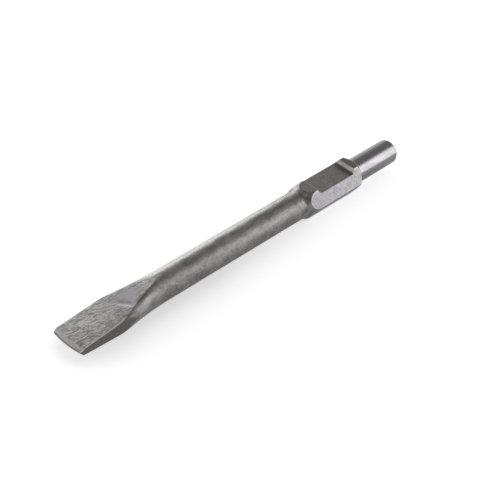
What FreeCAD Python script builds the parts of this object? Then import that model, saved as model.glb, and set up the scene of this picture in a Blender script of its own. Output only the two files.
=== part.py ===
import FreeCAD, Part
import math
import os
from FreeCAD import Vector

# A flat chisel for a demolition hammer, lying along X.
# The striking face is at X = 0 and the cutting edge is at the far end of +X.
# +Z is up, out of the retainer notch. The bar's axis is the X axis.
# The chisel is one steel forging. Its four named sections meet face to face.
# All sizes are in millimetres.

overall_length = 411.0

# Round striking end
tail_diameter = 23.4
tail_length = 55.5
tail_chamfer_length = 2.0
tail_chamfer_depth = 1.2

# Hexagonal shank, with a turned shoulder at each end
hex_across_flats = 30.0
hex_corner_break = 0.22
hex_length = 77.5
rear_shoulder_length = 6.3
front_shoulder_radius = 22.0

# Retainer notch, milled right across the upper flat
notch_depth = 4.0
notch_length = 52.0
notch_land_length = 5.2
notch_wall_draft_deg = 35.0
notch_wall_fillet = 4.0
notch_run_out_radius = 7.0

# Round bar
bar_diameter = 26.5

# Blade: the bar swells, and two broad faces cut into it from a leaf-shaped tip
blade_length = 105.0
flare_radius = 420.0
leaf_tip_setback = 2.5
leaf_length = 57.5
leaf_end_thickness = 14.0
side_clearance = 1.75
blade_edge_width = 31.4
blade_end_thickness = 7.2
bevel_length = 3.2
edge_land = 1.2
edge_bow = 1.6

# Extra length on cutting shapes, so that they pass clear of what they cut
over_cut = 5.0

# Places that follow from the sizes
hex_start = tail_length
hex_end = hex_start + hex_length
blade_start = overall_length - blade_length
bar_radius = bar_diameter / 2
hex_sharp_corner_radius = hex_across_flats / math.sqrt(3)
hex_corner_radius = hex_sharp_corner_radius - hex_corner_break


def line(start, end):
    return Part.LineSegment(start, end).toShape()


def arc(start, middle, end):
    return Part.Arc(start, middle, end).toShape()


def profile_point(x, radius):
    """A point of a turned profile, which is drawn in the XZ plane."""
    return Vector(x, 0, radius)


def below(point):
    """The same point on the underside."""
    return Vector(point.x, point.y, -point.z)


def closed_face(edges):
    return Part.Face(Part.Wire(edges))


def polygon_face(points):
    return closed_face([line(a, b) for a, b in zip(points, points[1:] + points[:1])])


def turned(edges):
    """Turn an open profile about the X axis, closed by its two end faces."""
    first = edges[0].Vertexes[0].Point
    last = edges[-1].Vertexes[-1].Point
    foot = profile_point(first.x, 0)
    head = profile_point(last.x, 0)
    face = closed_face([line(foot, first)] + edges + [line(last, head), line(head, foot)])
    return face.revolve(Vector(0, 0, 0), Vector(1, 0, 0), 360)


def turned_through(points):
    return turned([line(a, b) for a, b in zip(points, points[1:])])


def arc_length_along_axis(radius, rise):
    """How far an arc that starts parallel to the axis runs while it rises or falls."""
    return math.sqrt(radius ** 2 - (radius - rise) ** 2)


def striking_tail():
    radius = tail_diameter / 2
    return turned_through([
        profile_point(0, radius - tail_chamfer_depth),
        profile_point(tail_chamfer_length, radius),
        profile_point(tail_length, radius),
    ])


def hex_shoulders():
    """The turned body that rounds both ends of the hexagon and breaks its corners."""
    fall = hex_corner_radius - bar_radius
    run = arc_length_along_axis(front_shoulder_radius, fall)
    arc_start = hex_end - run
    half_run = run / 2
    half_fall = front_shoulder_radius - math.sqrt(front_shoulder_radius ** 2 - half_run ** 2)
    foot = profile_point(hex_start, tail_diameter / 2)
    rear_corner = profile_point(hex_start + rear_shoulder_length, hex_corner_radius)
    front_corner = profile_point(arc_start, hex_corner_radius)
    arc_middle = profile_point(arc_start + half_run, hex_corner_radius - half_fall)
    bar_edge = profile_point(hex_end, bar_radius)
    return turned([
        line(foot, rear_corner),
        line(rear_corner, front_corner),
        arc(front_corner, arc_middle, bar_edge),
    ])


def hex_prism():
    angles = [math.radians(60 * k) for k in range(6)]
    corners = [
        Vector(hex_start, hex_sharp_corner_radius * math.cos(a), hex_sharp_corner_radius * math.sin(a))
        for a in angles
    ]
    return polygon_face(corners).extrude(Vector(hex_length, 0, 0))


def notch_cutter():
    """The milled pocket: a draughted rear wall, a flat floor and a round run-out."""
    top = hex_across_flats / 2
    floor = top - notch_depth
    sky = top + over_cut
    rear_top = hex_start + rear_shoulder_length + notch_land_length
    front_top = rear_top + notch_length
    draft = math.radians(notch_wall_draft_deg)
    wall_foot = rear_top + notch_depth * math.tan(draft)
    tangent = notch_wall_fillet * math.tan((math.pi / 2 - draft) / 2)
    fillet_top = Vector(wall_foot - tangent * math.sin(draft), 0, floor + tangent * math.cos(draft))
    fillet_end = Vector(wall_foot + tangent, 0, floor)
    bisector = (math.pi / 2 + draft) / 2
    fillet_centre = Vector(wall_foot + tangent, 0, floor + notch_wall_fillet)
    toward_corner = Vector(-math.cos(bisector), 0, -math.sin(bisector))
    fillet_middle = fillet_centre + toward_corner * notch_wall_fillet
    run_out = arc_length_along_axis(notch_run_out_radius, notch_depth)
    run_out_start = Vector(front_top - run_out, 0, floor)
    half_run = run_out / 2
    half_rise = notch_run_out_radius - math.sqrt(notch_run_out_radius ** 2 - half_run ** 2)
    run_out_middle = Vector(front_top - half_run, 0, floor + half_rise)
    profile = closed_face([
        line(Vector(rear_top, 0, sky), Vector(rear_top, 0, top)),
        line(Vector(rear_top, 0, top), fillet_top),
        arc(fillet_top, fillet_middle, fillet_end),
        line(fillet_end, run_out_start),
        arc(run_out_start, run_out_middle, Vector(front_top, 0, top)),
        line(Vector(front_top, 0, top), Vector(front_top, 0, sky)),
        line(Vector(front_top, 0, sky), Vector(rear_top, 0, sky)),
    ])
    half_width = hex_across_flats
    profile.translate(Vector(0, -half_width, 0))
    return profile.extrude(Vector(0, 2 * half_width, 0))


def hex_shank():
    return hex_prism().common(hex_shoulders()).cut(notch_cutter())


def round_bar():
    return turned_through([profile_point(hex_end, bar_radius), profile_point(blade_start, bar_radius)])


def blade_flare():
    """The round bar, swelling along a long arc until it clears the blade's corners."""
    corner_reach = math.hypot(blade_edge_width / 2, leaf_end_thickness / 2)
    rise = max(corner_reach - bar_radius, 0) + over_cut
    run = arc_length_along_axis(flare_radius, rise)
    half_run = run / 2
    half_rise = flare_radius - math.sqrt(flare_radius ** 2 - half_run ** 2)
    start = profile_point(blade_start, bar_radius)
    middle = profile_point(blade_start + half_run, bar_radius + half_rise)
    end = profile_point(blade_start + run, bar_radius + rise)
    clear = profile_point(max(overall_length, end.x) + over_cut, end.z)
    return turned([arc(start, middle, end), line(end, clear)])


def blade_wedge():
    """The side view of the blade: a long leaf arc, a straight wedge face and an edge bevel."""
    tip_x = blade_start + leaf_tip_setback
    leaf_end = Vector(tip_x + leaf_length, 0, leaf_end_thickness / 2)
    fall = bar_radius - leaf_end.z
    leaf_radius = (leaf_length ** 2 + fall ** 2) / (2 * fall)
    half_fall = leaf_radius - math.sqrt(leaf_radius ** 2 - (leaf_length / 2) ** 2)
    start = Vector(blade_start, 0, bar_radius + over_cut)
    tip = Vector(tip_x, 0, bar_radius)
    leaf_middle = Vector(tip_x + leaf_length / 2, 0, bar_radius - half_fall)
    bevel = Vector(overall_length - bevel_length, 0, blade_end_thickness / 2)
    edge = Vector(overall_length, 0, edge_land / 2)
    outline = closed_face([
        line(start, tip),
        arc(tip, leaf_middle, leaf_end),
        line(leaf_end, bevel),
        line(bevel, edge),
        line(edge, below(edge)),
        line(below(edge), below(bevel)),
        line(below(bevel), below(leaf_end)),
        arc(below(leaf_end), below(leaf_middle), below(tip)),
        line(below(tip), below(start)),
        line(below(start), start),
    ])
    half_width = max(blade_edge_width, bar_diameter)
    outline.translate(Vector(0, -half_width, 0))
    return outline.extrude(Vector(0, 2 * half_width, 0))


def blade_plan():
    """The top view of the blade: nearly parallel sides and a slightly bowed edge."""
    root_y = bar_radius + side_clearance
    edge_y = blade_edge_width / 2
    corner_x = overall_length - edge_bow
    height = max(bar_diameter, leaf_end_thickness) + over_cut
    rear = Vector(blade_start, root_y, -height)
    corner = Vector(corner_x, edge_y, -height)
    nose = Vector(overall_length, 0, -height)
    far_corner = Vector(corner_x, -edge_y, -height)
    far_rear = Vector(blade_start, -root_y, -height)
    outline = closed_face([
        line(rear, corner),
        arc(corner, nose, far_corner),
        line(far_corner, far_rear),
        line(far_rear, rear),
    ])
    return outline.extrude(Vector(0, 0, 2 * height))


def flat_blade():
    return blade_flare().common(blade_wedge()).common(blade_plan())


sections = {
    "striking_tail": striking_tail,
    "hex_shank": hex_shank,
    "round_bar": round_bar,
    "flat_blade": flat_blade,
}

os.makedirs("parts", exist_ok=True)
for name, build_section in sections.items():
    section = build_section()
    if not section.isValid() or len(section.Solids) != 1:
        raise RuntimeError(name + " is not one valid solid")
    section.Solids[0].exportStep("parts/" + name + ".step")
    box = section.optimalBoundingBox(False, False)
    print(f"{name}: {section.Volume / 1000:.1f} cm3, X {box.XMin:.1f} to {box.XMax:.1f}, "
          f"Y {box.YMin:.2f} to {box.YMax:.2f}, Z {box.ZMin:.2f} to {box.ZMax:.2f}")
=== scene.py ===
"""A flat chisel for a power hammer: the looks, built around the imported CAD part.

The chisel is one steel forging. Its surface is worked out here as a single skin, which is
then shared out between four pieces that meet without a visible seam.
"""

import math

import bpy
import numpy as np
from bpy.props import FloatProperty, FloatVectorProperty, PointerProperty
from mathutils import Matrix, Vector


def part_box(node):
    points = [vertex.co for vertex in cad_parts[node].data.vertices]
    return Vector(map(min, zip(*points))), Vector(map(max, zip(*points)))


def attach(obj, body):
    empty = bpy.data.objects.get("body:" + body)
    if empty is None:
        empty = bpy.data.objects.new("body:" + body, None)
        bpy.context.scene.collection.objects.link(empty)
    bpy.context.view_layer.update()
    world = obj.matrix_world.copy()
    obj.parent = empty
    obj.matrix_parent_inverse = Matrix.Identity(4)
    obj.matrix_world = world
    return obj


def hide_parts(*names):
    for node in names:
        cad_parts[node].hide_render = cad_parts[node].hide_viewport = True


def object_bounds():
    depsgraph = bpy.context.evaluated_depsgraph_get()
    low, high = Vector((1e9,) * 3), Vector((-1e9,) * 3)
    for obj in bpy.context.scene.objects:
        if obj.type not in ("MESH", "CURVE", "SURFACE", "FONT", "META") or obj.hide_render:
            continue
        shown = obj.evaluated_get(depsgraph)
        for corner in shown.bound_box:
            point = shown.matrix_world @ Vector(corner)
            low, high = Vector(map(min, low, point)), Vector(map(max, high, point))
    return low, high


bl_info = {
    "name": "Flat Chisel",
    "version": (1, 0, 0),
    "blender": (4, 5, 0),
    "location": "3D View > Sidebar > Chisel",
    "description": "Builds a forged flat chisel with a hexagonal shank, and a plain stage for it",
    "category": "Object",
}

MM = 0.001
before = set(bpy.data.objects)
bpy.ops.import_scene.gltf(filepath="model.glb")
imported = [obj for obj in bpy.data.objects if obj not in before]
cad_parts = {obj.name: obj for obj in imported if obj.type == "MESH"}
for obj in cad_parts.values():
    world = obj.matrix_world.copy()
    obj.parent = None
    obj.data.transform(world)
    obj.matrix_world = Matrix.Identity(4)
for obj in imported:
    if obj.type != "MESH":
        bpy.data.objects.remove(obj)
CAD_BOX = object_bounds()

# Sizes that the CAD sections give
TAIL_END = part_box("striking_tail")[1].x
TAIL_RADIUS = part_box("striking_tail")[1].z
HEX_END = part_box("hex_shank")[1].x
HEX_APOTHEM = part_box("hex_shank")[1].z
HEX_CORNER_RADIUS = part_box("hex_shank")[1].y
BAR_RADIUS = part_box("round_bar")[1].z
BLADE_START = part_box("flat_blade")[0].x
BLADE_HALF_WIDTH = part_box("flat_blade")[1].y
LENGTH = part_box("flat_blade")[1].x

# The floor lies this far below the part, so that the two never share a plane
FLOOR_GAP = 0.02 * MM
FLOOR = CAD_BOX[0].z - FLOOR_GAP
FLOOR_HALF_SIZE = 6.0

# How far along the axis the corners of each profile are worn round. The foot of the front
# shoulder adds its own wear to that of the turned body
TURNED_WEAR = 0.3 * MM
SHOULDER_FOOT_WEAR = 3.0 * MM
NOTCH_WEAR = 0.05 * MM
FACE_WEAR = 0.5 * MM

# How wide the worn line is where two surfaces meet
LEAF_END_WEAR = 1.2 * MM
HEX_CORNER_WEAR = 0.30 * MM
UPPER_CORNER_WEAR = 0.18 * MM
HEX_RIM_WEAR = 0.25 * MM
BLADE_SIDE_WEAR = 1.5 * MM
LEAF_RIDGE_WEAR = 0.35 * MM
WEDGE_RIDGE_WEAR = 1.35 * MM

# Lips worn round at the two ends
STRIKING_LIP = 0.5 * MM
EDGE_LIP = 0.4 * MM

# How deep the forging's unevenness goes, and how far apart its bumps are
SMOOTH_DEPTH = 0.006 * MM
BLASTED_DEPTH = 0.035 * MM
FORGED_DEPTH = 0.085 * MM
BUMP_SPACING = 7 * MM

# The wrinkle that closes each leaf: its place before the edge, its slant, its reach and depth
WRINKLE_PLACE = 54.8 * MM
WRINKLE_SLANT = 0.65
WRINKLE_REACH = 2.0 * MM
WRINKLE_DEPTH = 0.5 * MM

STRIKING_CROWN = 0.02 * MM
UNREACHED = 1.0  # metres, farther out than any surface of the part


# ---------------------------------------------------------------- sizes and colours

def length_property(name, description, millimetres):
    return FloatProperty(name=name, description=description, default=millimetres * MM,
                         min=0.0, unit="LENGTH", precision=4)


def linear(hex_code):
    """An sRGB colour such as '#8a8580', as the opaque linear colour that shaders use."""
    levels = [int(hex_code[i:i + 2], 16) / 255 for i in (1, 3, 5)]
    return *(c / 12.92 if c <= 0.04045 else ((c + 0.055) / 1.055) ** 2.4 for c in levels), 1.0


def colour_property(name, description, hex_code):
    return FloatVectorProperty(name=name, description=description, default=linear(hex_code),
                               subtype="COLOR", size=4, min=0.0, max=1.0)


class ChiselShape(bpy.types.PropertyGroup):
    """Sizes of the forging's details. Its overall sizes come from the CAD sections."""

    tail_chamfer_length: length_property("Tail chamfer length", "Along the axis", 2.0)
    tail_chamfer_depth: length_property("Tail chamfer depth", "Off the radius", 1.2)
    rear_shoulder: length_property("Rear shoulder", "Length of the cone before the hexagon", 6.3)
    front_shoulder_radius: length_property("Front shoulder radius", "Arc that ends the hexagon", 22.0)
    notch_start: length_property("Notch start", "Top of the rear wall, from the striking face", 67.0)
    notch_length: length_property("Notch length", "From wall top to wall top", 52.0)
    notch_depth: length_property("Notch depth", "Below the flat", 4.0)
    notch_draft: FloatProperty(name="Notch draft", description="Lean of the notch's rear wall",
                               default=math.radians(35), subtype="ANGLE")
    notch_fillet: length_property("Notch fillet", "Radius at the foot of the rear wall", 2.6)
    notch_run_out: length_property("Notch run-out", "Radius of the front wall", 7.0)
    flare_radius: length_property("Flare radius", "Arc along which the bar swells to the blade", 420.0)
    leaf_tip: length_property("Leaf tip", "Start of the leaf, from the start of the blade", 2.5)
    leaf_length: length_property("Leaf length", "From the leaf's tip to the wedge face", 57.5)
    leaf_end_thickness: length_property("Leaf end thickness", "Blade thickness where the leaf ends", 14.0)
    side_clearance: length_property("Side clearance", "Of the blade's sides from the bar", 1.75)
    blade_end_thickness: length_property("Blade end thickness", "Thickness at the bevel", 7.2)
    bevel_length: length_property("Bevel length", "Along the axis", 3.2)
    edge_land: length_property("Edge land", "Thickness left at the blunt edge", 1.2)
    edge_bow: length_property("Edge bow", "How far the edge's middle leads its corners", 1.6)
    near_corner_round: length_property("Near corner round", "Radius worn on the edge's +Y corner", 1.8)
    far_corner_round: length_property("Far corner round", "Radius worn on the edge's -Y corner", 0.7)
    crown: length_property("Crown", "How far the ground faces fall away at their sides", 0.3)
    lean_across: length_property("Lean across", "How far the forging's tip strays to +Y", 0.8)
    lean_down: length_property("Lean down", "How far the forging's tip droops", 1.0)


class ChiselFinish(bpy.types.PropertyGroup):
    """Colours of the steel's finishes."""

    turned: colour_property("Turned steel", "The tail", "#a8a6a9")
    shoulder: colour_property("Shoulder steel", "The two turned shoulders", "#959396")
    blasted: colour_property("Blasted steel", "The shank's flats", "#c6c4c8")
    blasted_dark: colour_property("Blasted steel, dark", "Clouds on the flats", "#9e9ca0")
    milled: colour_property("Milled steel", "The notch", "#bcb6b3")
    milled_dark: colour_property("Milled steel, dark", "The upper flat beside the notch", "#777370")
    forged: colour_property("Forged steel", "The bar", "#b1afad")
    forged_dark: colour_property("Forged steel, dark", "Clouds on the bar", "#8b8784")
    # Forging scale: also the colour of painted shade, beside each leaf and at the foot of the notch's rear
    # wall
    scale: colour_property("Forging scale", "The strip that the grinder left beside each leaf", "#6f6c69")
    rubbed_and_highlight: colour_property("Rubbed steel", "The flare, where the grinder's belt touched it", "#cfcbc9")
    ground: colour_property("Ground steel", "The blade's broad faces", "#e0dddb")
    ground_dark: colour_property("Ground steel, dark", "Hollows between the grinding strokes", "#979492")
    pressed: colour_property("Pressed steel", "The smooth patch before each wrinkle", "#cfcdd4")
    bevel: colour_property("Bevel steel", "The edge's bevels", "#a9a8aa")
    side: colour_property("Side steel", "The blade's sides", "#8e8984")
    # Worn edge: also the colour of painted highlights, on the bar's far side, along the wrinkle and on the
    # blade's near ridge
    worn_edge_and_highlight: colour_property("Worn edge", "Bright corners", "#ece6e1")
    floor: colour_property("Floor", "The studio floor", "#fafafc")


def shape():
    return bpy.context.scene.chisel_shape


def finish():
    return bpy.context.scene.chisel_finish


# ---------------------------------------------------------------- the forging's surface

def soft_min(a, b, width):
    """The lower of a and b, with the crease between them worn away over a width."""
    near = np.clip(1 - np.abs(a - b) / width, 0, 1)
    return np.minimum(a, b) - near * near * width / 4


def ease(x, start, end):
    """0 before start, 1 after end, and a smooth rise between."""
    t = np.clip((x - start) / (end - start), 0, 1)
    return t * t * (3 - 2 * t)


def worn_along(profile, x, reach):
    """A profile along the axis, with each of its corners rounded over a reach."""
    offsets = np.linspace(-reach, reach, 15)
    return sum(profile(x + offset) for offset in offsets) / len(offsets)


def lip(distance, radius):
    """How much a rounded lip takes off at a distance from the end face."""
    t = np.clip(1 - distance / radius, 0, 1)
    return radius * (1 - np.sqrt(1 - t * t))


def uneven(x, y, z, spacing, seed):
    """Gentle seeded waves between 0 and 1, with bumps about one spacing apart."""
    rng = np.random.default_rng(seed)
    total = 0 * x
    waves = 22
    for _ in range(waves):
        way = rng.normal(size=3)
        way *= 2 * math.pi / (2 * spacing * rng.uniform(0.6, 1.7) * np.linalg.norm(way))
        total = total + np.sin(way[0] * x + way[1] * y + way[2] * z + rng.uniform(0, 2 * math.pi))
    return np.clip(0.5 + total / (2.6 * math.sqrt(waves)), 0, 1)


def turned_profile(x):
    """Radius of the turned body: tail, cone, hexagon's corners, front shoulder, bar and flare."""
    s = shape()
    cone_end = TAIL_END + s.rear_shoulder
    fall = HEX_CORNER_RADIUS - BAR_RADIUS
    radius = s.front_shoulder_radius
    arc_start = HEX_END - math.sqrt(radius ** 2 - (radius - fall) ** 2)
    along_arc = np.clip(x - arc_start, 0, HEX_END - arc_start)
    shoulder = HEX_CORNER_RADIUS - radius + np.sqrt(radius ** 2 - along_arc ** 2)
    straight = np.interp(x, [0, s.tail_chamfer_length, TAIL_END, cone_end],
                         [TAIL_RADIUS - s.tail_chamfer_depth, TAIL_RADIUS, TAIL_RADIUS, HEX_CORNER_RADIUS])
    along_flare = np.clip(x - BLADE_START, 0, None)
    flare = s.flare_radius - np.sqrt(s.flare_radius ** 2 - along_flare ** 2)
    return np.where(x < arc_start, straight, np.where(x < HEX_END, shoulder, BAR_RADIUS + flare))


def notch_profile(x):
    """Height of the upper flat: full height, with the milled notch in it."""
    s = shape()
    floor = HEX_APOTHEM - s.notch_depth
    end = s.notch_start + s.notch_length
    wall = HEX_APOTHEM - (x - s.notch_start) / math.tan(s.notch_draft)
    wall_foot = s.notch_start + s.notch_depth * math.tan(s.notch_draft)
    fillet_end = wall_foot + s.notch_fillet * math.tan((math.pi / 2 - s.notch_draft) / 2)
    across = np.clip(fillet_end - x, 0, s.notch_fillet)
    fillet = floor + s.notch_fillet - np.sqrt(s.notch_fillet ** 2 - across ** 2)
    fillet_top = fillet_end - s.notch_fillet * math.cos(s.notch_draft)
    run_out_start = end - math.sqrt(s.notch_run_out ** 2 - (s.notch_run_out - s.notch_depth) ** 2)
    along = np.clip(x - run_out_start, 0, s.notch_run_out)
    run_out = floor + s.notch_run_out - np.sqrt(s.notch_run_out ** 2 - along ** 2)
    cut = np.where(x < fillet_top, wall, np.where(x < fillet_end, fillet, run_out))
    return np.where((x < s.notch_start) | (x > end), HEX_APOTHEM, np.minimum(cut, HEX_APOTHEM))


def blade_half_thickness(x):
    """Distance of the leaf's arc, the long wedge face and the bevel from the axis.

    The leaf runs into the wedge face without a corner.
    """
    s = shape()
    tip = BLADE_START + s.leaf_tip
    leaf_end = tip + s.leaf_length
    bevel = LENGTH - s.bevel_length
    fall = BAR_RADIUS - s.leaf_end_thickness / 2
    radius = (s.leaf_length ** 2 + fall ** 2) / (2 * fall)
    along = np.clip(x - tip, 0, None)
    leaf = BAR_RADIUS - radius + np.sqrt(radius ** 2 - along ** 2)
    slope = (s.leaf_end_thickness - s.blade_end_thickness) / 2 / (bevel - leaf_end)
    wedge = s.leaf_end_thickness / 2 - slope * (x - leaf_end)
    face = -soft_min(-leaf, -wedge, LEAF_END_WEAR)
    ground_edge = np.interp(x, [bevel, LENGTH], [s.blade_end_thickness / 2, s.edge_land / 2])
    return np.where(x < bevel, face, ground_edge)


def blade_half_width(x):
    s = shape()
    root = BAR_RADIUS + s.side_clearance
    corner = LENGTH - s.edge_bow
    return np.minimum(root + (BLADE_HALF_WIDTH - root) * (x - BLADE_START) / (corner - BLADE_START),
                      BLADE_HALF_WIDTH)


def plane_reach(distance, facing):
    """Radius at which a ray meets a plane, from the plane's distance and the cosine between them."""
    grazing = 0.04
    return distance / np.maximum(facing, grazing)


def shoulder_foot(x):
    """1 where the front shoulder meets the bar, fading to 0 on both sides."""
    core, reach = 3 * MM, 7 * MM
    return ease(x, HEX_END - reach, HEX_END - core) * ease(x, HEX_END + reach, HEX_END + core)


def turned_body(x):
    """Radius of the turned body with its corners worn."""
    reach = TURNED_WEAR + SHOULDER_FOOT_WEAR * shoulder_foot(x)
    return worn_along(turned_profile, x, reach) - lip(x, STRIKING_LIP)


def hexagon(x, angle, upper_height):
    """Reach of the shank's six flats, and how far the upper flat leads the other five."""
    others = np.full_like(angle, UNREACHED)
    for k in (0, 2, 3, 4, 5):
        flat = plane_reach(HEX_APOTHEM, np.cos(angle - math.radians(30 + 60 * k)))
        others = soft_min(others, flat, HEX_CORNER_WEAR)
    upper = plane_reach(upper_height, np.sin(angle))
    on_shank = x < HEX_END + 20 * MM
    flats = np.where(on_shank, soft_min(others, upper, UPPER_CORNER_WEAR), UNREACHED)
    return flats, others - upper


def blade_depth(x):
    """Distance of the blade's worn faces from the axis."""
    return worn_along(blade_half_thickness, x, FACE_WEAR) - lip(LENGTH - x, EDGE_LIP)


def blade_planes(x, angle):
    """Reach of the blade's broad faces, and of its sides with their rounded corners."""
    s = shape()
    corner_round = np.where(np.cos(angle) > 0, s.near_corner_round, s.far_corner_round)
    faces = plane_reach(blade_depth(x), np.abs(np.sin(angle)))
    sides = plane_reach(blade_half_width(x) - lip(LENGTH - x, corner_round), np.abs(np.cos(angle)))
    on_blade = x >= BLADE_START
    return np.where(on_blade, faces, UNREACHED), np.where(on_blade, sides, UNREACHED)


def leaf_strip(x, angle, swell):
    """Place across the strip beside each leaf, and how far the strip is rolled back there.

    The place is 0 at the leaf's crease and 1 at the strip's far side. The strip narrows along
    the leaf. At the crease it is rolled back by a tenth of its width.
    """
    crease_angle = np.arcsin(np.clip(blade_depth(x) / swell, 0, 1))
    below_crease = (crease_angle - np.arcsin(np.abs(np.sin(angle)))) * swell
    width = np.interp(x, [BLADE_START + 12 * MM, BLADE_START + 28 * MM, LENGTH - 46 * MM],
                      [7.0 * MM, 3.6 * MM, 2.0 * MM])
    across = below_crease / width
    rolling = ease(x, BLADE_START + 18 * MM, BLADE_START + 38 * MM) * (x < LENGTH - 44 * MM)
    rolled = 0.1 * width * np.clip(1 - across, 0, 1.1) ** 2 * rolling
    return across, rolled


def surface_radius(x, angle):
    """Radius of the forging's surface at a station, in a direction about the axis.

    The angle starts at +Y and turns towards +Z. Returned with it are the margins by which
    each kind of surface leads the others, which the materials use as masks.
    """
    s = shape()
    turned = turned_body(x)
    upper_height = worn_along(notch_profile, x, NOTCH_WEAR)
    flats, upper_lead = hexagon(x, angle, upper_height)
    body = soft_min(turned, flats, HEX_RIM_WEAR)
    faces, sides = blade_planes(x, angle)
    swell = soft_min(body, sides, BLADE_SIDE_WEAR)
    crease, rolled = leaf_strip(x, angle, swell)
    swell = swell - rolled
    # The run-out, and the land beyond it, count as deep, so they are as pale as the floor
    past_floor = x > s.notch_start + 0.7 * s.notch_length
    margins = {
        "flat": turned - flats,
        "upper": upper_lead,
        "notch": np.where(past_floor, s.notch_depth, HEX_APOTHEM - upper_height) + 0 * angle,
        "face": swell - faces,
        "crease": crease * MM,
        "side": np.minimum(body, faces) - sides,
        "bevel": x - (LENGTH - s.bevel_length) + 0 * angle,
    }
    on_wedge = ease(x, LENGTH - 50 * MM, LENGTH - 42 * MM)
    ridge_wear = LEAF_RIDGE_WEAR + (WEDGE_RIDGE_WEAR - LEAF_RIDGE_WEAR) * on_wedge
    return soft_min(swell, faces, ridge_wear), margins


def corner_angles(x):
    """Angles of the four corner lines that the mesh follows: near top, far top, far bottom, near bottom."""
    top = notch_profile(x)
    reach = (HEX_APOTHEM - top / 2) / math.cos(math.radians(30))
    hex_near = np.arctan2(top, reach)
    depth = np.minimum(blade_half_thickness(x), BAR_RADIUS) - lip(LENGTH - x, EDGE_LIP)
    round_radius = np.maximum(turned_profile(x), depth)
    spread = np.maximum(np.arccos(np.clip(depth / round_radius, -1, 1)), math.radians(7))
    width = blade_half_width(x) - lip(LENGTH - x, shape().near_corner_round)
    blade_near = np.maximum(math.pi / 2 - spread, np.arctan2(depth, width))
    blend = ease(x, HEX_END, BLADE_START)
    near = hex_near + (blade_near - hex_near) * blend
    lower = math.radians(60) + (blade_near - math.radians(60)) * blend
    return near, math.pi - near, math.pi + lower, 2 * math.pi - lower


# Columns of the mesh across the top or the bottom, and on each half of a side
COLUMNS_BROAD = 44
COLUMNS_SIDE = 24

STATION_RUNS = [  # (a run of rings ends at, how many rings it holds)
    (0.6 * MM, 6), (3 * MM, 12), (TAIL_END - 5.5 * MM, 34), (TAIL_END, 11),
    (TAIL_END + 7.5 * MM, 25), (TAIL_END + 11.1 * MM, 7), (TAIL_END + 17.5 * MM, 43),
    (TAIL_END + 19.5 * MM, 5), (HEX_END - 21.5 * MM, 36), (HEX_END - 13.4 * MM, 40), (HEX_END, 38),
    (HEX_END + 9 * MM, 15), (BLADE_START, 102), (BLADE_START + 6 * MM, 15),
    (BLADE_START + 64 * MM, 116), (LENGTH - 7 * MM, 38), (LENGTH - 4 * MM, 8),
    (LENGTH - 0.6 * MM, 28), (LENGTH, 10),
]


def stations():
    """Places of the rings along the axis, closer together where the profile turns."""
    places = [0.0]
    for end, count in STATION_RUNS:
        places.extend(np.linspace(places[-1], end, count + 1)[1:])
    return np.array(places)


def crowded(count):
    """Fractions from 0 to 1, crowded towards both ends."""
    crowding = 0.72
    t = np.arange(count) / count
    return t - crowding * np.sin(2 * math.pi * t) / (2 * math.pi)


def ring_angles(x):
    """Angles of the mesh's columns at each station, crowded towards the corner lines."""
    near, far, far_low, near_low = corner_angles(x)
    corners = [0 * x, near, far, math.pi + 0 * x, far_low, near_low, 2 * math.pi + 0 * x]
    radii = [surface_radius(x, c)[0] for c in corners]
    counts = [COLUMNS_SIDE, COLUMNS_BROAD, COLUMNS_SIDE, COLUMNS_SIDE, COLUMNS_BROAD, COLUMNS_SIDE]
    runs = []
    for k, count in enumerate(counts):
        part = crowded(count)[None, :]
        y = radii[k] * np.cos(corners[k]) * (1 - part) + radii[k + 1] * np.cos(corners[k + 1]) * part
        z = radii[k] * np.sin(corners[k]) * (1 - part) + radii[k + 1] * np.sin(corners[k + 1]) * part
        runs.append(np.arctan2(z, y))
    return np.concatenate(runs, axis=1)


def wear_depth(x, margins):
    """How deep the unevenness of each finish goes, in metres."""
    forged = ease(x, HEX_END - 6 * MM, HEX_END + 12 * MM)
    blasted = BLASTED_DEPTH * (margins["flat"] > 0) * (margins["upper"] < 0)
    return SMOOTH_DEPTH + blasted * (1 - forged) + FORGED_DEPTH * forged


def forging_marks(x, y, margins):
    """The shallow wrinkle that closes each leaf, and the crown of the faces beyond it."""
    across = (x - LENGTH + WRINKLE_PLACE + WRINKLE_SLANT * y) / WRINKLE_REACH
    spread = ease(y, -9 * MM, 1 * MM) * ease(y, 11 * MM, 6 * MM)
    dent = WRINKLE_DEPTH * np.exp(-(across + 0.7) ** 2) * spread
    crown = shape().crown * (y / BLADE_HALF_WIDTH) ** 2 * ease(x, LENGTH - 60 * MM, LENGTH - 40 * MM)
    return (dent + crown) * (margins["face"] > 0)


def skin_normals(points):
    """Normals of the skin's points, from the faces around each."""
    across = np.roll(points, -1, axis=1)
    faces = np.cross(across[1:] - points[:-1], points[1:] - across[:-1])
    normals = np.zeros_like(points)
    for rows in (slice(0, -1), slice(1, None)):
        normals[rows] += faces + np.roll(faces, 1, axis=1)
    return normals / np.linalg.norm(normals, axis=-1, keepdims=True)


def whole_skin():
    """Points, normals and margins of the whole skin: one ring of points for each station."""
    x = stations()[:, None]
    angle = ring_angles(x)
    x = x + 0 * angle
    radius, margins = surface_radius(x, angle)
    y, z = radius * np.cos(angle), radius * np.sin(angle)
    radius = radius - wear_depth(x, margins) * uneven(x, y, z, BUMP_SPACING, seed=4)
    radius = radius - forging_marks(x, y, margins)
    y, z = radius * np.cos(angle), radius * np.sin(angle)
    bow = shape().edge_bow * (y / BLADE_HALF_WIDTH) ** 2
    stray = ease(x, BLADE_START, LENGTH)
    x = x - bow * ease(x, LENGTH - 30 * MM, LENGTH)
    points = np.stack([x, y + shape().lean_across * stray, z - shape().lean_down * stray], axis=-1)
    return points, skin_normals(points), margins


# ---------------------------------------------------------------- from the skin to pieces

def closing_cap(columns):
    """Quads that close a ring of points by joining each upper point to the lower one."""
    quads = []
    for j in range(columns // 2):
        quad = (j, -j % columns, columns - j - 1, j + 1)
        quads.append(list(dict.fromkeys(quad)))
    return quads


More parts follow.
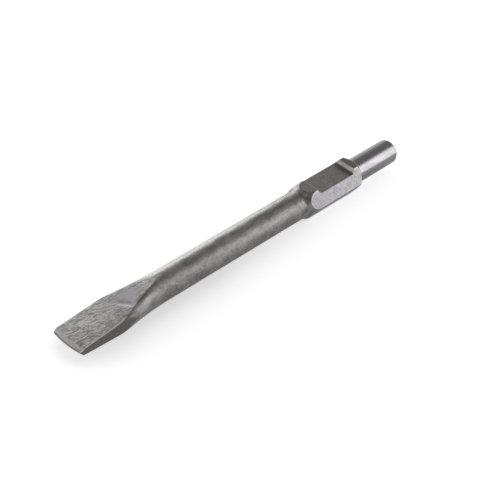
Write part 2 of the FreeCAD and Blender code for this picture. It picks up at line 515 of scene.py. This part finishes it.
def striking_face(ring):
    """Rings of the slightly crowned face, from its middle out to the chamfer's rim."""
    shares = np.array([0.02, 0.3, 0.6, 0.85, 0.95, 0.99])[:, None, None]
    rings = ring[None] * shares
    rings[..., 0] = STRIKING_CROWN * (1 - shares[..., 0]) ** 2
    return rings, np.broadcast_to([-1.0, 0.0, 0.0], rings.shape)


def section_object(name, start, end):
    """One closed piece: the skin between two stations, with a cap at each end."""
    points, normals, margins = whole_skin()
    along = stations()
    tolerance = 1e-4 * MM
    rows = (along > start - tolerance) & (along < end + tolerance)
    points, normals = points[rows], normals[rows]
    margins = {key: value[rows] for key, value in margins.items()}
    if start == 0:
        rings, ring_normals = striking_face(points[0])
        points = np.concatenate([rings, points])
        normals = np.concatenate([ring_normals, normals])
        for key, value in margins.items():
            margins[key] = np.concatenate([np.repeat(value[:1], len(rings), axis=0), value])
    count, columns = points.shape[:2]
    i, j = np.meshgrid(np.arange(count - 1) * columns, np.arange(columns), indexing="ij")
    k = (j + 1) % columns
    quads = np.stack([i + j, i + k, i + columns + k, i + columns + j], axis=-1).reshape(-1, 4)
    cap = closing_cap(columns)
    last = (count - 1) * columns
    far_cap = [[last + corner for corner in reversed(quad)] for quad in cap]
    mesh = bpy.data.meshes.new(name)
    mesh.from_pydata(points.reshape(-1, 3).tolist(), [], quads.tolist() + cap + far_cap)
    mesh.validate()
    mesh.shade_smooth()
    mesh.normals_split_custom_set_from_vertices(normals.reshape(-1, 3).tolist())
    for key, value in margins.items():
        attribute = mesh.attributes.new(key, "FLOAT", "POINT")
        attribute.data.foreach_set("value", (value / MM).astype(np.float32).ravel())
    piece = bpy.data.objects.new(name, mesh)
    bpy.context.scene.collection.objects.link(piece)
    return piece


# ---------------------------------------------------------------- materials

USUAL = (0.3, 0.7)  # the span that most of a noise pattern's values lie in


def add(tree, kind, inputs=(), out=0, **settings):
    """Adds a node with its settings, and with its inputs as values or links. Gives one output.

    The inputs stand in the node's own order, or in a dict by place or name.
    """
    node = tree.nodes.new("ShaderNode" + kind)
    for key, value in settings.items():
        setattr(node, key, value)
    for key, value in inputs.items() if isinstance(inputs, dict) else enumerate(inputs):
        if isinstance(value, bpy.types.NodeSocket):
            tree.links.new(value, node.inputs[key])
        else:
            node.inputs[key].default_value = value
    return node.outputs[out] if node.outputs else None


def position(tree, axis):
    """The part's own X, Y or Z, in metres, at the point that is shaded."""
    return add(tree, "SeparateXYZ", (add(tree, "TexCoord", out="Object"),), out=axis)


def pattern(tree, size, stretch=(1, 1, 1), turn=0.0, detail=3.0, roughness=0.5):
    """Noise with features of one size, in millimetres, drawn out along an axis where wanted."""
    whole = add(tree, "TexCoord", out="Object")
    turned = add(tree, "Mapping", {"Vector": whole, "Rotation": (0, 0, turn)})
    placed = add(tree, "Mapping", {"Vector": turned, "Scale": [1 / (MM * s) for s in stretch]})
    return add(tree, "TexNoise", {"Vector": placed, "Scale": 1 / size, "Detail": detail,
                                  "Roughness": roughness})


def region(tree, *limits):
    """One mask from several, each given as for a Map Range node, multiplied together."""
    mask = add(tree, "MapRange", limits[0])
    for limit in limits[1:]:
        mask = add(tree, "Math", (mask, add(tree, "MapRange", limit)), operation="MULTIPLY")
    return mask


# Each skin below gives a colour, a roughness, and a height in millimetres. The margins that
# the skins read from the mesh are in millimetres too.

def forged_skin(tree):
    """Hammer-forged and tempered, then oiled: satin brown-grey with soft clouds and fine pits.

    A painted highlight brightens the middle of the far side, more and more towards the blade,
    and the end at the hexagon is stained. Real pits are a few tenths of a millimetre wide. They
    are drawn 1.5 mm wide, and the forging's rings 1.3 mm apart, so that they show.
    """
    f = finish()
    along = position(tree, "X")
    clouds = pattern(tree, 5, stretch=(2, 1, 1), detail=4, roughness=0.6)
    rings = pattern(tree, 1, stretch=(1.3, 9, 9), detail=2)
    pits = pattern(tree, 1.5, detail=2)
    grain = add(tree, "Mix", {0: 0.65, 2: rings, 3: pits})
    tone = add(tree, "Mix", {0: 0.5, 2: clouds, 3: grain})
    bright = add(tree, "MapRange", (tone, 0.40, 0.60))
    colour = add(tree, "Mix", {0: bright, 6: f.forged_dark, 7: f.forged}, out=2, data_type="RGBA")
    # Painted highlight: the middle of the bar's far side is brightened, more and more towards the blade
    rubbed_and_highlight = region(tree, (along, HEX_END + 27 * MM, BLADE_START - 6 * MM, 0.0, 0.8),
                    (position(tree, "Y"), -6 * MM, -11 * MM), (position(tree, "Z"), -4 * MM, 4 * MM))
    colour = add(tree, "Mix", {0: rubbed_and_highlight, 6: colour, 7: f.worn_edge_and_highlight}, out=2, data_type="RGBA")
    stains = region(tree, (pattern(tree, 4, stretch=(1, 1.5, 1.5)), 0.46, 0.58),
                    (along, HEX_END + 24 * MM, HEX_END + 2 * MM, 0.0, 0.6))
    colour = add(tree, "Mix", {0: stains, 6: colour, 7: f.scale}, out=2, data_type="RGBA")
    roughness = add(tree, "MapRange", (clouds, *USUAL, 0.36, 0.50))
    swells = add(tree, "Math", (clouds, 0.25), operation="MULTIPLY")
    return colour, roughness, add(tree, "Math", (grain, 0.22, swells), operation="MULTIPLY_ADD")


def turned_skin(tree):
    """Turned on a lathe and rubbed bright by the hammer's bore: fine rings and a shine.

    Real rings are about 0.2 mm apart, too fine to show here, so they are drawn 0.9 mm apart.
    """
    f = finish()
    rings = pattern(tree, 1, stretch=(0.9, 40, 40), detail=2)
    smears = pattern(tree, 4, stretch=(5, 1, 1))
    smeared = add(tree, "MapRange", (smears, *USUAL, 0.0, 0.35))
    colour = add(tree, "Mix", {0: smeared, 6: f.turned, 7: f.forged_dark}, out=2, data_type="RGBA")
    roughness = add(tree, "MapRange", (smears, *USUAL, 0.24, 0.32))
    return colour, roughness, add(tree, "Math", (rings, 0.05), operation="MULTIPLY")


def shoulder_skin(tree):
    """Turned, then dulled by the blasting of the flats beside it: satin, with small dark stains.

    The rings are drawn 1.2 mm apart, coarser than real ones, so that they show.
    """
    f = finish()
    rings = pattern(tree, 1, stretch=(1.2, 30, 30), detail=2)
    clouds = pattern(tree, 6)
    stains = add(tree, "MapRange", (pattern(tree, 4, stretch=(1, 1.5, 1.5)), 0.44, 0.56, 0.0, 0.7))
    clouded = add(tree, "MapRange", (clouds, *USUAL, 0.0, 0.4))
    colour = add(tree, "Mix", {0: clouded, 6: f.shoulder, 7: f.forged_dark}, out=2, data_type="RGBA")
    colour = add(tree, "Mix", {0: stains, 6: colour, 7: f.scale}, out=2, data_type="RGBA")
    roughness = add(tree, "MapRange", (clouds, *USUAL, 0.38, 0.46))
    return colour, roughness, add(tree, "Math", (rings, 0.05), operation="MULTIPLY")


def blasted_skin(tree):
    """Shot-blasted after hardening: pale, matt and softly clouded.

    Real dents of the shot are about 0.3 mm wide, so they are drawn 1.2 mm wide to show.
    """
    f = finish()
    clouds = pattern(tree, 5, roughness=0.6)
    grit = pattern(tree, 1.2, detail=2)
    tone = add(tree, "Mix", {0: 0.5, 2: clouds, 3: grit})
    bright = add(tree, "MapRange", (tone, 0.40, 0.60))
    colour = add(tree, "Mix", {0: bright, 6: f.blasted_dark, 7: f.blasted}, out=2, data_type="RGBA")
    roughness = add(tree, "MapRange", (clouds, *USUAL, 0.40, 0.48))
    return colour, roughness, add(tree, "Math", (grit, 0.10), operation="MULTIPLY")


def milled_skin(tree):
    """Milled with a wide cutter and left dark: smooth, with faint feed marks across.

    Painted shade darkens the foot of the notch's rear wall. The feed marks are drawn 1.6 mm
    apart, coarser than real ones, so that they show.
    """
    f = finish()
    start = shape().notch_start
    feed = pattern(tree, 1, stretch=(1.6, 20, 20), detail=2)
    clouds = pattern(tree, 8, detail=2)
    grain = pattern(tree, 1.5, detail=2)
    depth = add(tree, "Attribute", out="Fac", attribute_name="notch")
    pale = region(tree, (depth, 0.05, 0.2, 0.4, 1.0), (clouds, *USUAL, 1.0, 0.7),
                  (grain, 0.35, 0.65, 0.5, 1.0))
    colour = add(tree, "Mix", {0: pale, 6: f.milled_dark, 7: f.milled}, out=2, data_type="RGBA")
    # Painted shade on the notch's floor, darkest at the foot of its rear wall
    foot_shade = region(tree, (depth, 2.9, 3.4),
                  (position(tree, "X"), start + 10 * MM, start + 4.5 * MM, 0.0, 0.75))
    colour = add(tree, "Mix", {0: foot_shade, 6: colour, 7: f.scale}, out=2, data_type="RGBA")
    roughness = add(tree, "MapRange", (clouds, *USUAL, 0.36, 0.44))
    return colour, roughness, add(tree, "Math", (feed, 0.02), operation="MULTIPLY")


def ground_skin(tree):
    """Ground by hand on a coarse wheel: strokes along and across, bright on their crests.

    Real strokes are too fine to show here, so they are drawn nearly 1 mm wide. Each face has
    one smoother patch before the wrinkle, and a painted highlight along the bottom of the wrinkle.
    """
    f = finish()
    along = pattern(tree, 1, stretch=(6, 0.65, 8), turn=math.radians(4), detail=1)
    aslant = pattern(tree, 1, stretch=(5.5, 0.65, 8), turn=math.radians(28), detail=1)
    across = pattern(tree, 1, stretch=(0.65, 3, 8), turn=math.radians(-13), detail=1)
    lengthwise = add(tree, "Math", (along, aslant), operation="MAXIMUM")
    crosswise = add(tree, "Math", (across, 0.05), operation="SUBTRACT")
    strokes = add(tree, "Math", (lengthwise, crosswise), operation="MAXIMUM")
    clouds = pattern(tree, 10)
    beside = position(tree, "Y")
    from_bevel = add(tree, "Attribute", out="Fac", attribute_name="bevel")

    # The patch is an oval, and outward is the square of how far out of its middle a point is
    place = add(tree, "CombineXYZ", (from_bevel, beside))
    from_middle = add(tree, "VectorMath", (place, (-65, -1 * MM, 0)), operation="SUBTRACT")
    reach = add(tree, "VectorMath", (from_middle, (8.5, 7 * MM, 1)), operation="DIVIDE")
    outward = add(tree, "VectorMath", (reach, reach), out="Value", operation="DOT_PRODUCT")
    smooth = add(tree, "MapRange", (outward, 1.6, 0.0, 0.0, 0.75))

    towards_edge = add(tree, "MapRange", (from_bevel, -60, -25, 0.75, 1.0))
    coarse = add(tree, "Math", (smooth, -0.35, towards_edge), operation="MULTIPLY_ADD")
    cut = add(tree, "Mix", {0: coarse, 2: 0.64, 3: strokes})
    tone = add(tree, "Mix", {0: 0.1, 2: cut, 3: clouds})
    near_side = add(tree, "MapRange", (beside, 2 * MM, 15 * MM, 0.0, 0.05))
    near_edge = add(tree, "MapRange", (from_bevel, -22, -2, 0.0, 0.025))
    shade = add(tree, "Math", (near_side, coarse, near_edge), operation="MULTIPLY_ADD")
    tone = add(tree, "Math", (tone, shade), operation="SUBTRACT")
    bright = add(tree, "MapRange", (tone, 0.465, 0.64))
    colour = add(tree, "Mix", {0: bright, 6: f.ground_dark, 7: f.ground}, out=2, data_type="RGBA")
    colour = add(tree, "Mix", {0: smooth, 6: colour, 7: f.pressed}, out=2, data_type="RGBA")

    # Painted highlight: a bright line along the bottom of the wrinkle on each face
    slanted = add(tree, "Math", (beside, WRINKLE_SLANT / MM, from_bevel), operation="MULTIPLY_ADD")
    bottom = (WRINKLE_PLACE + 0.8 * WRINKLE_REACH - shape().bevel_length) / MM
    past_bottom = add(tree, "Math", (slanted, bottom))
    from_bottom = add(tree, "Math", (past_bottom,), operation="ABSOLUTE")
    lit = region(tree, (beside, -6 * MM, -1 * MM), (beside, 11 * MM, 8 * MM),
                 (from_bottom, 2.4, 0.4, 0.0, 0.8))
    colour = add(tree, "Mix", {0: lit, 6: colour, 7: f.worn_edge_and_highlight}, out=2, data_type="RGBA")
    dull = add(tree, "MapRange", (tone, 0.4, 0.65, 0.58, 0.48))
    roughness = add(tree, "Mix", {0: smooth, 2: dull, 3: 0.50})
    return colour, roughness, add(tree, "Math", (cut, 0.45), operation="MULTIPLY")


def bevel_skin(tree):
    """The edge's bevels, ground once more on a fine belt: even, and paler where the edge is rubbed.

    The belt's lines are drawn nearly 1 mm wide, coarser than real ones, so that they show.
    """
    f = finish()
    lines = pattern(tree, 1, stretch=(0.9, 2.5, 7), turn=math.radians(20), detail=2)
    streaks = add(tree, "MapRange", (lines, *USUAL, -0.6, 0.7))
    rubbed_and_highlight = add(tree, "MapRange", (position(tree, "Y"), -4 * MM, 14 * MM, 0.0, 0.7))
    tone = add(tree, "Math", (streaks, rubbed_and_highlight))
    bright = add(tree, "MapRange", (tone, 0.0, 1.6))
    colour = add(tree, "Mix", {0: bright, 6: f.bevel, 7: f.rubbed_and_highlight}, out=2, data_type="RGBA")
    from_bevel = add(tree, "Attribute", out="Fac", attribute_name="bevel")
    at_edge = add(tree, "MapRange", (from_bevel, 2.4, 3.1, 0.0, 0.7))
    colour = add(tree, "Mix", {0: at_edge, 6: colour, 7: f.scale}, out=2, data_type="RGBA")
    roughness = add(tree, "MapRange", (lines, *USUAL, 0.44, 0.54))
    return colour, roughness, add(tree, "Math", (lines, 0.25), operation="MULTIPLY")


def side_skin(tree):
    """The blade's sides, as they left the forging die: dark and smooth with a few scuffs.

    The grain and the scuffs are drawn 1.2 to 1.5 mm wide, coarser than real ones, to show.
    """
    f = finish()
    clouds = pattern(tree, 7)
    scuffs = pattern(tree, 1, stretch=(1.2, 9, 9), detail=2)
    grain = pattern(tree, 1.5, detail=2)
    scuffed = add(tree, "MapRange", (scuffs, 0.55, 0.75, 0.0, 0.5))
    colour = add(tree, "Mix", {0: scuffed, 6: f.side, 7: f.forged}, out=2, data_type="RGBA")
    darkened = add(tree, "MapRange", (grain, *USUAL, 0.5, 0.0))
    colour = add(tree, "Mix", {0: darkened, 6: colour, 7: f.scale}, out=2, data_type="RGBA")
    roughness = add(tree, "MapRange", (clouds, *USUAL, 0.38, 0.48))
    return colour, roughness, add(tree, "Math", (grain, 0.12), operation="MULTIPLY")


def over(tree, mask, below, above):
    """One skin over another, where the mask is 1."""
    return (add(tree, "Mix", {0: mask, 6: below[0], 7: above[0]}, out=2, data_type="RGBA"),
            add(tree, "Mix", {0: mask, 2: below[1], 3: above[1]}),
            add(tree, "Mix", {0: mask, 2: below[2], 3: above[2]}))


def worn(tree, skin, mask):
    """The same skin with its corners brightened where the mask is 1: rubbed bright, and on the blade's
    ridge a painted highlight as well.
    """
    colour, roughness, height = skin
    bright = finish().worn_edge_and_highlight
    return add(tree, "Mix", {0: mask, 6: colour, 7: bright}, out=2, data_type="RGBA"), roughness, height


def blasted_shank(tree):
    """Blasted flats between turned shoulders, and the milled upper flat with its notch."""
    flat = add(tree, "Attribute", out="Fac", attribute_name="flat")
    upper = add(tree, "Attribute", out="Fac", attribute_name="upper")
    near_bar = add(tree, "MapRange", (position(tree, "X"), HEX_END - 9 * MM, HEX_END - 0.2 * MM))
    on_flat = add(tree, "MapRange", (flat, -0.15, 0.15))
    rim = region(tree, (flat, -0.2, 0.0), (flat, 0.5, 0.2, 0.0, 0.6), (upper, 0.12, 0.0))
    on_upper = region(tree, (upper, 0.0, 0.12), (flat, -0.05, 0.15))
    skin = over(tree, near_bar, shoulder_skin(tree), forged_skin(tree))
    skin = worn(tree, over(tree, on_flat, skin, blasted_skin(tree)), rim)
    return over(tree, on_upper, skin, milled_skin(tree))


def scaled_flare(tree):
    """The forged skin of the flare, rubbed pale in blotches, with a strip of painted shade beside each
    leaf.
    """
    f = finish()
    colour, roughness, height = forged_skin(tree)
    crease = add(tree, "Attribute", out="Fac", attribute_name="crease")
    from_bevel = add(tree, "Attribute", out="Fac", attribute_name="bevel")
    along_leaf = (from_bevel, -94, -74)
    rubbed_and_highlight = region(tree, (crease, 0.9, 1.6), (crease, 5.0, 3.0), along_leaf,
                    (pattern(tree, 6), 0.4, 0.6, 0.3, 1.0))
    # Painted shade: the strip beside each leaf's crease is darkened with the scale colour
    scale = region(tree, (crease, 1.1, 0.6), along_leaf)
    colour = add(tree, "Mix", {0: rubbed_and_highlight, 6: colour, 7: f.rubbed_and_highlight}, out=2, data_type="RGBA")
    colour = add(tree, "Mix", {0: scale, 6: colour, 7: f.scale}, out=2, data_type="RGBA")
    roughness = add(tree, "Math", (rubbed_and_highlight, 0.12, roughness), operation="MULTIPLY_ADD")
    return colour, roughness, height


def ground_blade(tree):
    """Ground broad faces and bevels, dark sides, and the forged skin of the swelling bar."""
    face = add(tree, "Attribute", out="Fac", attribute_name="face")
    side = add(tree, "Attribute", out="Fac", attribute_name="side")
    from_bevel = add(tree, "Attribute", out="Fac", attribute_name="bevel")
    on_side = add(tree, "MapRange", (side, -0.4, 0.4))
    on_face = add(tree, "MapRange", (face, -0.05, 0.12))
    on_bevel = region(tree, (from_bevel, -0.1, 0.3), (face, -0.05, 0.12))
    # The near ridge between face and side: worn bright, with a painted highlight along it
    crest = region(tree, (face, -1.6, -0.4), (face, 0.8, 0.35), (position(tree, "Y"), 0.0, 4 * MM),
                   (from_bevel, -49, -44, 0.0, 0.95))
    skin = over(tree, on_side, scaled_flare(tree), side_skin(tree))
    skin = over(tree, on_face, skin, ground_skin(tree))
    return worn(tree, over(tree, on_bevel, skin, bevel_skin(tree)), crest)


def steel(name, skin):
    """A material of bare alloy steel with the skin's colour, roughness and height."""
    material = bpy.data.materials.new(name)
    material.use_nodes = True
    tree = material.node_tree
    tree.nodes.clear()
    colour, roughness, height = skin(tree)
    bump = add(tree, "Bump", {"Height": height, "Distance": MM, "Strength": 1.0})
    shader = add(tree, "BsdfPrincipled", {"Base Color": colour, "Metallic": 1.0,
                                          "Roughness": roughness, "Normal": bump})
    add(tree, "OutputMaterial", {"Surface": shader})
    return material


# ---------------------------------------------------------------- stage

def floor_material():
    """A matt white painted floor. The eye and the steel see it a little brighter than it is lit.

    The eye sees it brightest in the open. Ambient occlusion dims its lift beside the tool, a
    painted shadow that stays close beside the tool, and the floor stays bright all along the
    shank. The steel sees the floor behind the tool brighter still, as a lit sweep would be, and
    dim close beside the tool: a painted pool of light.
    """
    material = bpy.data.materials.new("White painted floor")
    material.use_nodes = True
    tree = material.node_tree
    tree.nodes.clear()
    rays = add(tree, "LightPath").node.outputs
    glossy, transmitted = rays["Is Glossy Ray"], rays["Is Transmission Ray"]
    steel_sees = add(tree, "Math", (glossy, transmitted), operation="MAXIMUM")
    # Painted light and shade for the steel: the floor seen behind the tool is brighter, close beside it dim
    behind = add(tree, "MapRange", (position(tree, "Y"), -30 * MM, -80 * MM, 0.07, 0.37))
    # Painted shadow for the eye: ambient occlusion dims the floor's lift beside the tool, less towards the
    # tail
    openness = add(tree, "AmbientOcclusion", {"Distance": 40 * MM}, out="AO", samples=12)
    in_shadow = add(tree, "MapRange", (position(tree, "X"), 100 * MM, 260 * MM, 0.60, 0.45))
    lit = add(tree, "MapRange", (openness, 0.55, 0.95, in_shadow, 0.66))
    eye_sees = add(tree, "Math", (rays["Is Camera Ray"], lit), operation="MULTIPLY")
    seen = add(tree, "Math", (steel_sees, behind, eye_sees), operation="MULTIPLY_ADD")
    paint = add(tree, "BsdfDiffuse", {"Color": finish().floor})
    lift = add(tree, "Emission", {"Strength": seen})
    add(tree, "OutputMaterial", {"Surface": add(tree, "AddShader", (paint, lift))})
    return material


# How light the room is, against the upward part of the direction: pale walls, a dim ceiling
ROOM_LEVELS = [(0.01, 0.72), (0.16, 0.70), (0.46, 0.28), (0.72, 0.22), (0.99, 0.27)]


def studio_world():
    """A room with pale walls and a dim ceiling. The eye sees it as plain white.

    The colour ramp keeps its own two ends: black below the horizon, and white straight up.
    """
    world = bpy.data.worlds.new("Pale room")
    world.use_nodes = True
    tree = world.node_tree
    tree.nodes.clear()
    height = add(tree, "SeparateXYZ", (add(tree, "TexCoord", out="Generated"),), out="Z")
    room = add(tree, "ValToRGB", (height,))
    for place, level in ROOM_LEVELS:
        step = room.node.color_ramp.elements.new(place)
        step.color = (level, level, level, 1.0)
    eye = add(tree, "LightPath", out="Is Camera Ray")
    seen = add(tree, "Mix", {0: eye, 6: room, 7: (1.0, 1.0, 1.0, 1.0)}, out=2, data_type="RGBA")
    background = add(tree, "Background", {"Color": seen, "Strength": 1.0})
    add(tree, "OutputWorld", {"Surface": background})
    return world


def softbox(name, place, target, width, height, brightness):
    """A large soft lamp whose face has one even brightness, where 1 is white."""
    data = bpy.data.lights.new(name, "AREA")
    data.shape = "RECTANGLE"
    data.size, data.size_y = width, height
    data.energy = brightness * math.pi * width * height
    lamp = bpy.data.objects.new(name, data)
    lamp.location = place
    lamp.visible_camera = False
    lamp.rotation_euler = (Vector(target) - Vector(place)).to_track_quat("-Z", "Y").to_euler()
    bpy.context.scene.collection.objects.link(lamp)


def studio_camera():
    data = bpy.data.cameras.new("Camera")
    data.sensor_width = 36.0
    data.lens = 108.0
    camera = bpy.data.objects.new("Camera", data)
    camera.location = (1.0212, 0.58358, 0.79578)
    camera.rotation_euler = [math.radians(angle) for angle in (50.648, -8.195, 131.795)]
    bpy.context.scene.collection.objects.link(camera)
    bpy.context.scene.camera = camera


# ---------------------------------------------------------------- operators

class CHISEL_OT_tail(bpy.types.Operator):
    """Add the round striking tail"""

    bl_idname = "chisel.tail"
    bl_label = "Striking tail"

    def execute(self, context):
        piece = section_object("tail", 0.0, TAIL_END)
        piece.data.materials.append(steel("Turned alloy steel", turned_skin))
        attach(piece, "root")
        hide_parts("striking_tail")
        return {"FINISHED"}


class CHISEL_OT_shank(bpy.types.Operator):
    """Add the hexagonal shank with its retainer notch"""

    bl_idname = "chisel.shank"
    bl_label = "Hexagonal shank"

    def execute(self, context):
        piece = section_object("shank", TAIL_END, HEX_END)
        piece.data.materials.append(steel("Shot-blasted alloy steel", blasted_shank))
        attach(piece, "root")
        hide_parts("hex_shank")
        return {"FINISHED"}


class CHISEL_OT_bar(bpy.types.Operator):
    """Add the round bar"""

    bl_idname = "chisel.bar"
    bl_label = "Round bar"

    def execute(self, context):
        piece = section_object("bar", HEX_END, BLADE_START)
        piece.data.materials.append(steel("Forged alloy steel", forged_skin))
        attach(piece, "root")
        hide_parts("round_bar")
        return {"FINISHED"}


class CHISEL_OT_blade(bpy.types.Operator):
    """Add the flat blade"""

    bl_idname = "chisel.blade"
    bl_label = "Flat blade"

    def execute(self, context):
        piece = section_object("blade", BLADE_START, LENGTH)
        piece.data.materials.append(steel("Ground alloy steel", ground_blade))
        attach(piece, "root")
        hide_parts("flat_blade")
        return {"FINISHED"}


class CHISEL_OT_stage(bpy.types.Operator):
    """Add the floor, the room, the lamps and the camera"""

    bl_idname = "chisel.stage"
    bl_label = "Stage"

    def execute(self, context):
        mesh = bpy.data.meshes.new("floor")
        half = FLOOR_HALF_SIZE
        mesh.from_pydata([(-half, -half, FLOOR), (half, -half, FLOOR), (half, half, FLOOR),
                          (-half, half, FLOOR)], [], [(0, 1, 2, 3)])
        floor = bpy.data.objects.new("floor", mesh)
        floor.data.materials.append(floor_material())
        context.scene.collection.objects.link(floor)
        context.scene.world = studio_world()
        middle = (0.2, 0.0, 0.0)
        softbox("Side softbox", (-1.05, 0.66, 0.40), (0.0, 0.0, 0.0), 0.8, 1.1, 2.1)
        softbox("Back softbox", (-0.22, -1.2, 0.34), middle, 1.1, 0.68, 2.8)
        softbox("Front softbox", (1.15, -0.62, 0.42), middle, 0.8, 0.5, 1.4)
        studio_camera()
        context.scene.view_settings.view_transform = "Standard"
        return {"FINISHED"}


class CHISEL_PT_panel(bpy.types.Panel):
    """Lists the pieces, the stage and the sizes"""

    bl_idname = "CHISEL_PT_panel"
    bl_label = "Flat Chisel"
    bl_space_type = "VIEW_3D"
    bl_region_type = "UI"
    bl_category = "Chisel"

    def draw(self, context):
        for operator in OPERATORS:
            self.layout.operator(operator.bl_idname)
        for group in (context.scene.chisel_shape, context.scene.chisel_finish):
            column = self.layout.column()
            for key in group.__annotations__:
                column.prop(group, key)


OPERATORS = (CHISEL_OT_tail, CHISEL_OT_shank, CHISEL_OT_bar, CHISEL_OT_blade, CHISEL_OT_stage)
CLASSES = (ChiselShape, ChiselFinish, *OPERATORS, CHISEL_PT_panel)


def register():
    for cls in CLASSES:
        bpy.utils.register_class(cls)
    bpy.types.Scene.chisel_shape = PointerProperty(type=ChiselShape)
    bpy.types.Scene.chisel_finish = PointerProperty(type=ChiselFinish)


def unregister():
    del bpy.types.Scene.chisel_finish
    del bpy.types.Scene.chisel_shape
    for cls in reversed(CLASSES):
        bpy.utils.unregister_class(cls)


def main():
    register()
    bpy.ops.chisel.tail()
    bpy.ops.chisel.shank()
    bpy.ops.chisel.bar()
    bpy.ops.chisel.blade()
    bpy.ops.chisel.stage()


if __name__ == "__main__":
    main()
